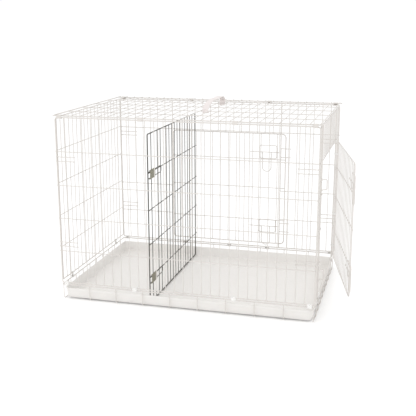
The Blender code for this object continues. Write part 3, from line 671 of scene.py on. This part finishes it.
def bolt_surfaces(door, z):
    """A straight bolt wire, and a U of wire hanging from it for a finger."""
    gauge = bpy.context.scene.crate_sizes.row_wire
    ends = np.array((BOLT_TIP_FROM_EDGE, BOLT_TIP_FROM_EDGE + BOLT_LENGTH))
    shaft = wire(door.at(ends, z, BOLT_LAYER), gauge, door.plane.out)
    middle = GUIDE_FROM_EDGE + GUIDE_WIDTH / 2 + BOLT_HANDLE_SHIFT
    near, far = middle - BOLT_HANDLE_WIDTH / 2, middle + BOLT_HANDLE_WIDTH / 2
    knee, foot = z - BOLT_HANDLE_KNEE, z - BOLT_HANDLE_DROP
    drop = door.at((near, near, far, far), np.array((knee, foot, foot, knee)), BOLT_HANDLE_LAYER)
    path = np.vstack((door.at(near, z, BOLT_LAYER), bent(drop, BOLT_HANDLE_ROUND),
                      door.at(far, z, BOLT_LAYER)))
    roots = np.vstack((path[0], path[-1]))
    return [shaft, wire(path, gauge)] + beads(roots, gauge * ROOT_BEAD, door.plane.out)


def keeper_surfaces(door, z):
    """A U of wire on the panel beside the door, whose nose stands out for the bolt to enter."""
    nose = door.latch - door.way * KEEPER_SHIFT
    leg = nose + door.way * KEEPER_LEG
    high, low = z + KEEPER_GAP / 2, z - KEEPER_GAP / 2
    levels = np.array((high, high, high, low, low, low))
    outs = np.full(len(levels), KEEPER_LAYER)
    outs[2:4] = KEEPER_NOSE
    path = door.plane.at((leg, nose, nose, nose, nose, leg), levels, outs)
    return [wire(bent(path, KEEPER_ROUND), bpy.context.scene.crate_sizes.row_wire)]


def ring_surfaces(door, z):
    """An open ring of flat wire round the door's outer upright and the panel's upright."""
    far = DOOR_STANDOFF + RING_REACH
    sides = np.array((RING_REACH, RING_REACH, -RING_REACH, -RING_REACH, RING_REACH, RING_REACH))
    outs = np.array((RING_GAP[0], -RING_REACH, -RING_REACH, far, far, RING_GAP[1]))
    path = bent(door.plane.at(door.hinge + sides, z, outs), RING_ROUND)
    thickness = bpy.context.scene.crate_sizes.sheet
    return [carry(path, ribbon(thickness, RING_WIDTH), Z)]


# ---- clips ---------------------------------------------------------------------------------------


def clip_surfaces(low, high, along, inward):
    """A sheet clip wrapped round two parallel rails, open on the inside between them."""
    low, high, inward = (np.array(v, float) for v in (low, high, inward))
    rise = unit(high - low)
    side, head = inward * CLIP_REACH, rise * CLIP_REACH
    points = np.array((low + side + rise * CLIP_LIP, low + side - head, low - side - head,
                       high - side + head, high + side + head, high + side - rise * CLIP_LIP))
    thickness = bpy.context.scene.crate_sizes.sheet
    return [carry(bent(points, CLIP_ROUND), ribbon(thickness, CLIP_WIDTH), along)]


def clip_places():
    """Each clip's name, its two rails' points, the rails' direction and the inward direction."""
    sizes = bpy.context.scene.crate_sizes
    left, front = -sizes.length / 2, -sizes.depth / 2
    found = []
    sides = (("front", front, 1, CLIP_BAYS), ("back", -front, -1, BACK_CLIP_BAYS))
    for side, y, sign, feet in sides:
        rows = ((f"{side}_foot_clip", feet, (BASE_INSET, BASE_RAIL_Z), (PANEL_INSET, PANEL_FOOT_Z)),
                (f"{side}_top_clip", TOP_CLIP_BAYS, (PANEL_INSET, sizes.rail_height),
                 (TOP_EDGE_INSET, TOP_WIRE_Z)))
        for name, bays, low, high in rows:
            for number, bay in enumerate(bays, start=1):
                x = left + PANEL_INSET + (bay + 0.5) * side_pitch()
                found.append((f"{name}_{number}", (x, y + sign * low[0], low[1]),
                              (x, y + sign * high[0], high[1]), X, (0, sign, 0)))
    for name, x, sign in (("left_end_clip", left, 1), ("right_end_clip", -left, -1)):
        for number, bay in enumerate(END_CLIP_BAYS, start=1):
            y = front + END_INSET + (bay + 0.5) * end_pitch()
            found.append((f"{name}_{number}", (x + sign * BASE_INSET, y, BASE_RAIL_Z),
                          (x + sign * PANEL_INSET, y, END_FOOT_Z), Y, (sign, 0, 0)))
    return found


# ---- divider and handle --------------------------------------------------------------------------


def divider_surfaces(plane):
    """The dark divider: a square-cornered lattice across the crate."""
    ring = outline(plane, DIVIDER_FRONT, DIVIDER_REAR, DIVIDER_FOOT_Z, DIVIDER_TOP_Z,
                   DIVIDER_ROUND, DIVIDER_ROUND)
    uprights = [(DIVIDER_FRONT + i * DIVIDER_PITCH, DIVIDER_FOOT_Z, DIVIDER_TOP_Z)
                for i in range(1, DIVIDER_WIRES + 1)]
    first, last = DIVIDER_FRONT - DIVIDER_OVERHANG[0], DIVIDER_REAR + DIVIDER_OVERHANG[1]
    return lattice(plane, ring, uprights, [(z, first, last) for z in DIVIDER_ROWS])


def hairpin_surfaces(plane, z):
    """A hairpin of wire: two prongs reach through the front panel, and its bend takes a finger."""
    tip, end = HAIRPIN_SPAN
    high, low = z + HAIRPIN_GAP / 2, z - HAIRPIN_GAP / 2
    path = plane.at((tip, end, end, tip), (high, high, low, low), DIVIDER_BOLT_LAYER)
    return [wire(bent(path, HAIRPIN_ROUND), bpy.context.scene.crate_sizes.pin_wire, plane.out)]


def bracket_surfaces(plane, z):
    """A channel of plated sheet over the hairpin's legs, open towards the divider."""
    half = HAIRPIN_GAP / 2 + BRACKET_REACH
    near, far = BRACKET_LAYERS
    levels = np.array((z + half, z + half, z - half, z - half))
    outs = np.array((near, far, far, near))
    path = bent(plane.at(BRACKET_MIDDLE, levels, outs), BRACKET_ROUND)
    thickness = bpy.context.scene.crate_sizes.sheet
    return [carry(path, ribbon(thickness, BRACKET_WIDTH), plane.along)]


def hook(y, start, end):
    """Points round a cross wire: its centre plus the hook's radius at angles from start to end."""
    a = np.radians(np.linspace(start, end, HOOK_STEPS + 1))
    return np.stack((y + HANDLE_HOOK * np.cos(a), TOP_WIRE_Z + HANDLE_HOOK * np.sin(a)), -1)


def handle_surfaces():
    """An arched strap whose two ends hook under cross wires of the top. Its line is the hooks and
    the arch between them; the arch's corners are cut twice, at a quarter of each leg."""
    sizes = bpy.context.scene.crate_sizes
    near, far = TOP_CROSS[1], TOP_CROSS[3]
    rise = np.array(HANDLE_RISE) + (near, TOP_WIRE_Z)
    fall = np.array(HANDLE_FALL) + (far, TOP_WIRE_Z)
    arch = np.vstack((rise, fall))
    for _ in range(ARCH_CUTS):
        legs = arch[1:] - arch[:-1]
        cut = np.stack((arch[:-1] + legs / 4, arch[1:] - legs / 4), 1).reshape(-1, 2)
        arch = np.vstack((arch[0], cut, arch[-1]))
    line = np.vstack((hook(near, *HANDLE_NEAR_TURN), arch, hook(far, *HANDLE_FAR_TURN)))
    x = -sizes.length / 2 + PANEL_INSET + HANDLE_BAY * side_pitch()
    path = np.column_stack((np.full(len(line), x), line[:, 0] - sizes.depth / 2, line[:, 1]))
    return [carry(path, ribbon(HANDLE_THICKNESS, HANDLE_WIDTH), X)]


# ---- materials -----------------------------------------------------------------------------------


MIX_COLOUR_INPUTS = (6, 7)
MIX_COLOUR_OUTPUT = 2


class Finish:
    """A material's nodes: a Principled shader, with helpers for its colour, roughness and bump."""

    def __init__(self, name, roughness, metallic=0.0, coat=0.0):
        self.material = bpy.data.materials.new(name)
        self.material.use_nodes = True
        self.tree = self.material.node_tree
        self.shader = self.tree.nodes["Principled BSDF"]
        self.shader.inputs["Roughness"].default_value = roughness
        self.shader.inputs["Metallic"].default_value = metallic
        self.shader.inputs["Coat Weight"].default_value = coat
        self.place = self.node("ShaderNodeTexCoord").outputs["Object"]

    def node(self, kind, **settings):
        made = self.tree.nodes.new(kind)
        for key, value in settings.items():
            setattr(made, key, value)
        return made

    def link(self, output, target):
        self.tree.links.new(output, target)

    def stretched(self, scale):
        """Object coordinates scaled by a different number along each axis."""
        mapping = self.node("ShaderNodeMapping")
        mapping.inputs["Scale"].default_value = scale
        self.link(self.place, mapping.inputs["Vector"])
        return mapping.outputs["Vector"]

    def noise(self, scale, detail=3.0, place=None):
        made = self.node("ShaderNodeTexNoise")
        made.inputs["Scale"].default_value = scale
        made.inputs["Detail"].default_value = detail
        self.link(place or self.place, made.inputs["Vector"])
        return made.outputs["Fac"]

    def cells(self, scale):
        made = self.node("ShaderNodeTexVoronoi")
        made.inputs["Scale"].default_value = scale
        self.link(self.place, made.inputs["Vector"])
        return made.outputs["Distance"]

    def fitted(self, value, low, high, start=0.3, end=0.7):
        """A value moved from start..end to low..high."""
        made = self.node("ShaderNodeMapRange")
        limits = {"From Min": start, "From Max": end, "To Min": low, "To Max": high}
        for socket, number in limits.items():
            made.inputs[socket].default_value = number
        self.link(value, made.inputs["Value"])
        return made.outputs["Result"]

    def mixed(self, share, first, second):
        """A colour between two; either may be three numbers or another node's output."""
        made = self.node("ShaderNodeMix", data_type="RGBA")
        self.link(share, made.inputs["Factor"])
        for number, value in zip(MIX_COLOUR_INPUTS, (first, second)):
            if isinstance(value, bpy.types.NodeSocket):
                self.link(value, made.inputs[number])
            else:
                made.inputs[number].default_value = (*value, 1)
        return made.outputs[MIX_COLOUR_OUTPUT]

    def bumped(self, height, strength, distance):
        made = self.node("ShaderNodeBump")
        made.inputs["Strength"].default_value = strength
        made.inputs["Distance"].default_value = distance
        self.link(height, made.inputs["Height"])
        self.link(made.outputs["Normal"], self.shader.inputs["Normal"])

    def coloured(self, output):
        self.link(output, self.shader.inputs["Base Color"])

    def rough(self, output):
        self.link(output, self.shader.inputs["Roughness"])


def shaded(value, share):
    """A colour multiplied by a share."""
    return tuple(channel * share for channel in value)


def coated_finish(name, value, weld_value, roughness):
    """Powder coating over wire: slow changes in tone, a fine pebbled skin and discoloured welds."""
    finish = Finish(name, roughness, coat=0.15)
    slow = finish.fitted(finish.noise(scale=9.0), low=0, high=1)
    body = finish.mixed(slow, value, shaded(value, 0.93))
    weld = finish.node("ShaderNodeAttribute", attribute_name="weld").outputs["Fac"]
    finish.coloured(finish.mixed(weld, body, weld_value))
    patches = finish.noise(scale=60.0)
    finish.rough(finish.fitted(patches, low=roughness - 0.08, high=roughness + 0.10))
    finish.bumped(finish.noise(scale=1400.0, detail=2.0), strength=0.25, distance=0.0002)


def zinc_finish(value):
    """Plated sheet: small crystalline cells, a warm cast in patches and a fine rolled grain."""
    finish = Finish("zinc plate", roughness=0.34, metallic=0.5)
    patches = finish.fitted(finish.noise(scale=45.0), low=0, high=1)
    body = finish.mixed(patches, value, shaded(value, 0.72))
    crystals = finish.fitted(finish.cells(scale=420.0), low=0, high=1, start=0, end=0.8)
    finish.coloured(finish.mixed(crystals, body, shaded(value, 1.25)))
    finish.rough(finish.fitted(finish.noise(scale=180.0), low=0.26, high=0.46))
    grain = finish.noise(scale=900.0, detail=2.0, place=finish.stretched((1, 1, 14)))
    finish.bumped(grain, strength=0.2, distance=0.0001)


def clip_finish(value):
    """Bright coated sheet metal: a fine drawn grain along each strip and duller patches."""
    finish = Finish("clip sheet", roughness=0.30, metallic=0.25, coat=0.2)
    patches = finish.fitted(finish.noise(scale=70.0), low=0, high=1)
    finish.coloured(finish.mixed(patches, value, shaded(value, 0.90)))
    finish.rough(finish.fitted(finish.noise(scale=240.0), low=0.22, high=0.40))
    grain = finish.noise(scale=700.0, detail=2.0, place=finish.stretched((1, 1, 9)))
    finish.bumped(grain, strength=0.2, distance=0.0001)


def pan_finish(value):
    """Moulded pan: a leather-like grain, shallow ribs across the floor, scuffs and worn areas."""
    finish = Finish("pan plastic", roughness=0.45)
    streaks = finish.noise(scale=26.0, detail=6.0, place=finish.stretched((1, 5, 1)))
    scuffs = finish.fitted(streaks, low=0, high=1, start=0.52, end=0.72)
    finish.coloured(finish.mixed(scuffs, value, shaded(value, 0.975)))
    finish.rough(finish.fitted(finish.noise(scale=12.0), low=0.40, high=0.52))
    ribs = finish.node("ShaderNodeTexWave", bands_direction="X", wave_profile="SIN")
    ribs.inputs["Scale"].default_value = 4.0
    finish.link(finish.place, ribs.inputs["Vector"])
    grain = finish.node("ShaderNodeMath", operation="MULTIPLY_ADD")
    finish.link(finish.noise(scale=520.0, detail=2.0), grain.inputs[0])
    grain.inputs[1].default_value = 0.25
    finish.link(ribs.outputs["Fac"], grain.inputs[2])
    finish.bumped(grain.outputs["Value"], strength=0.2, distance=0.0004)


def handle_finish(value):
    """Moulded handle: a matte sparked grain and faint shading in patches."""
    finish = Finish("handle plastic", roughness=0.48)
    patches = finish.fitted(finish.noise(scale=35.0), low=0, high=1)
    finish.coloured(finish.mixed(patches, value, shaded(value, 0.93)))
    finish.rough(finish.fitted(finish.noise(scale=200.0), low=0.42, high=0.58))
    finish.bumped(finish.cells(scale=1500.0), strength=0.3, distance=0.0002)


def floor_finish(value):
    """The pale floor, lit softly from within like a light table, with a faint change in tone."""
    finish = Finish("studio floor", roughness=0.85)
    finish.shader.inputs["Emission Color"].default_value = (1, 1, 1, 1)
    finish.shader.inputs["Emission Strength"].default_value = FLOOR_GLOW
    patches = finish.fitted(finish.noise(scale=2.0), low=0, high=1)
    finish.coloured(finish.mixed(patches, value, shaded(value, 0.995)))


# ---- operators -----------------------------------------------------------------------------------


class CRATE_OT_finishes(bpy.types.Operator):
    """Make the crate's materials from its colours"""

    bl_idname = "crate.finishes"
    bl_label = "Finishes"

    def execute(self, context):
        colours = context.scene.crate_colours
        coating, graphite = tuple(colours.coating), tuple(colours.graphite)
        coated_finish("coated wire", coating, shaded(coating, 0.86), 0.36)
        coated_finish("graphite wire", graphite, shaded(graphite, 1.5), 0.42)
        zinc_finish(tuple(colours.zinc))
        clip_finish(tuple(colours.clip))
        pan_finish(tuple(colours.pan))
        handle_finish(tuple(colours.handle))
        floor_finish(tuple(colours.floor))
        return {"FINISHED"}


class CRATE_OT_panels(bpy.types.Operator):
    """Weld up the two long sides, the two ends and the top"""

    bl_idname = "crate.panels"
    bl_label = "Panels"

    def execute(self, context):
        at = planes()
        for node, surfaces in (("front_panel", side_surfaces(at["front"])),
                               ("back_panel", side_surfaces(at["back"], BACK_DOOR_BAYS)),
                               ("left_end_panel", end_surfaces(at["left"])),
                               ("right_end_panel", end_surfaces(at["right"], RIGHT_DOOR_BAYS)),
                               ("top_panel", top_surfaces(at["top"]))):
            piece(node + "_wires", node, surfaces, "coated wire")
        return {"FINISHED"}


class CRATE_OT_base(bpy.types.Operator):
    """Make the base grid and the pan that lies in it"""

    bl_idname = "crate.base"
    bl_label = "Base and pan"

    def execute(self, context):
        plan = planes()["plan"]
        piece("base_grid_wires", "base_grid", base_surfaces(plan), "coated wire")
        piece("pan_shell", "pan", pan_surfaces(plan), "pan plastic")
        return {"FINISHED"}


class CRATE_OT_doors(bpy.types.Operator):
    """Hang both doors with their guides, bolts, keepers and hinge rings"""

    bl_idname = "crate.doors"
    bl_label = "Doors"

    def execute(self, context):
        for door in doors():
            panel = door.opened(door_surfaces(door))
            piece(door.name + "_wires", door.name, panel, "coated wire")
            for place, z in zip(("upper", "lower"), LATCH_Z):
                stem = f"{door.name}_{place}"
                made = (("guide", door.opened(guide_surfaces(door, z))),
                        ("bolt", door.opened(bolt_surfaces(door, z))),
                        ("keeper", keeper_surfaces(door, z)))
                for kind, surfaces in made:
                    node = f"{stem}_{kind}"
                    piece(node + "_wire", node, surfaces, "coated wire")
            for number, z in enumerate(HINGE_RING_Z, start=1):
                node = f"{door.name}_hinge_ring_{number}"
                piece(node + "_strip", node, ring_surfaces(door, z), "clip sheet")
        return {"FINISHED"}


class CRATE_OT_clips(bpy.types.Operator):
    """Wrap the sheet clips round the rails"""

    bl_idname = "crate.clips"
    bl_label = "Clips"

    def execute(self, context):
        for node, *place in clip_places():
            material, slot = "clip sheet", "clip_sheet"
            if "_top_" in node:
                material, slot = "coated wire", "coated_wire"
            piece(node + "_sheet", node, clip_surfaces(*place), material)
        return {"FINISHED"}


class CRATE_OT_divider(bpy.types.Operator):
    """Stand the dark divider in the crate with its brackets and hairpins"""

    bl_idname = "crate.divider"
    bl_label = "Divider"

    def execute(self, context):
        plane = planes()["divider"]
        panel = divider_surfaces(plane)
        piece("divider_panel_wires", "divider_panel", panel, "graphite wire")
        for place, z in zip(("upper", "lower"), DIVIDER_LATCH_Z):
            bolt, bracket = f"divider_{place}_bolt", f"divider_{place}_bracket"
            hairpin, channel = hairpin_surfaces(plane, z), bracket_surfaces(plane, z)
            piece(bolt + "_wire", bolt, hairpin, "graphite wire")
            piece(bracket + "_sheet", bracket, channel, "zinc plate")
        return {"FINISHED"}


class CRATE_OT_handle(bpy.types.Operator):
    """Hook the carry handle over the top's cross wires"""

    bl_idname = "crate.handle"
    bl_label = "Carry handle"

    def execute(self, context):
        strap = handle_surfaces()
        piece("carry_handle_strap", "carry_handle", strap, "handle plastic")
        return {"FINISHED"}


class CRATE_OT_studio(bpy.types.Operator):
    """Lay the pale floor and set up the soft lights and the camera"""

    bl_idname = "crate.studio"
    bl_label = "Studio"

    def execute(self, context):
        scene = context.scene
        mesh = bpy.data.meshes.new("studio_floor")
        reach = (-FLOOR_REACH, FLOOR_REACH)
        u, v = (g.ravel() for g in np.meshgrid(reach, reach))
        mesh.from_pydata(np.column_stack((u, v, np.zeros(4))), [], [(0, 1, 3, 2)])
        mesh.materials.append(bpy.data.materials["studio floor"])
        floor = bpy.data.objects.new("studio_floor", mesh)
        scene.collection.objects.link(floor)
        world = bpy.data.worlds.new("studio")
        world.use_nodes = True
        sky = world.node_tree.nodes["Background"]
        sky.inputs["Color"].default_value = (1, 1, 1, 1)
        sky.inputs["Strength"].default_value = SKY_STRENGTH
        scene.world = world
        for name, place, size, power in LAMPS:
            data = bpy.data.lights.new(name, "AREA")
            data.size, data.energy = size, power
            lamp = bpy.data.objects.new(name, data)
            lamp.location = place
            lamp.rotation_euler = (-lamp.location).to_track_quat("-Z", "Y").to_euler()
            scene.collection.objects.link(lamp)
        data = bpy.data.cameras.new("camera")
        data.lens, data.sensor_width = CAMERA_LENS, CAMERA_SENSOR
        camera = bpy.data.objects.new("camera", data)
        camera.location = CAMERA_PLACE
        camera.rotation_euler = (math.pi / 2 + CAMERA_PITCH, 0, CAMERA_YAW)
        scene.collection.objects.link(camera)
        scene.camera = camera
        scene.view_settings.view_transform = "Standard"
        return {"FINISHED"}


STEPS = (CRATE_OT_finishes, CRATE_OT_panels, CRATE_OT_base, CRATE_OT_doors, CRATE_OT_clips,
         CRATE_OT_divider, CRATE_OT_handle, CRATE_OT_studio)


class CRATE_PT_panel(bpy.types.Panel):
    """The crate's sizes, colours and building steps"""

    bl_idname = "CRATE_PT_panel"
    bl_label = "Wire Dog Crate"
    bl_space_type = "VIEW_3D"
    bl_region_type = "UI"
    bl_category = "Crate"

    def draw(self, context):
        for group in (context.scene.crate_sizes, context.scene.crate_colours):
            for name in group.__annotations__:
                self.layout.prop(group, name)
        for step in STEPS:
            self.layout.operator(step.bl_idname)


CLASSES = (CrateSizes, CrateColours, *STEPS, CRATE_PT_panel)


def register():
    for item in CLASSES:
        bpy.utils.register_class(item)
    bpy.types.Scene.crate_sizes = bpy.props.PointerProperty(type=CrateSizes)
    bpy.types.Scene.crate_colours = bpy.props.PointerProperty(type=CrateColours)


def unregister():
    del bpy.types.Scene.crate_colours
    del bpy.types.Scene.crate_sizes
    for item in reversed(CLASSES):
        bpy.utils.unregister_class(item)


def main():
    """Build the crate in order."""
    register()
    bpy.ops.crate.finishes()
    bpy.ops.crate.panels()
    bpy.ops.crate.base()
    bpy.ops.crate.doors()
    bpy.ops.crate.clips()
    bpy.ops.crate.divider()
    bpy.ops.crate.handle()
    bpy.ops.crate.studio()


if __name__ == "__main__":
    main()
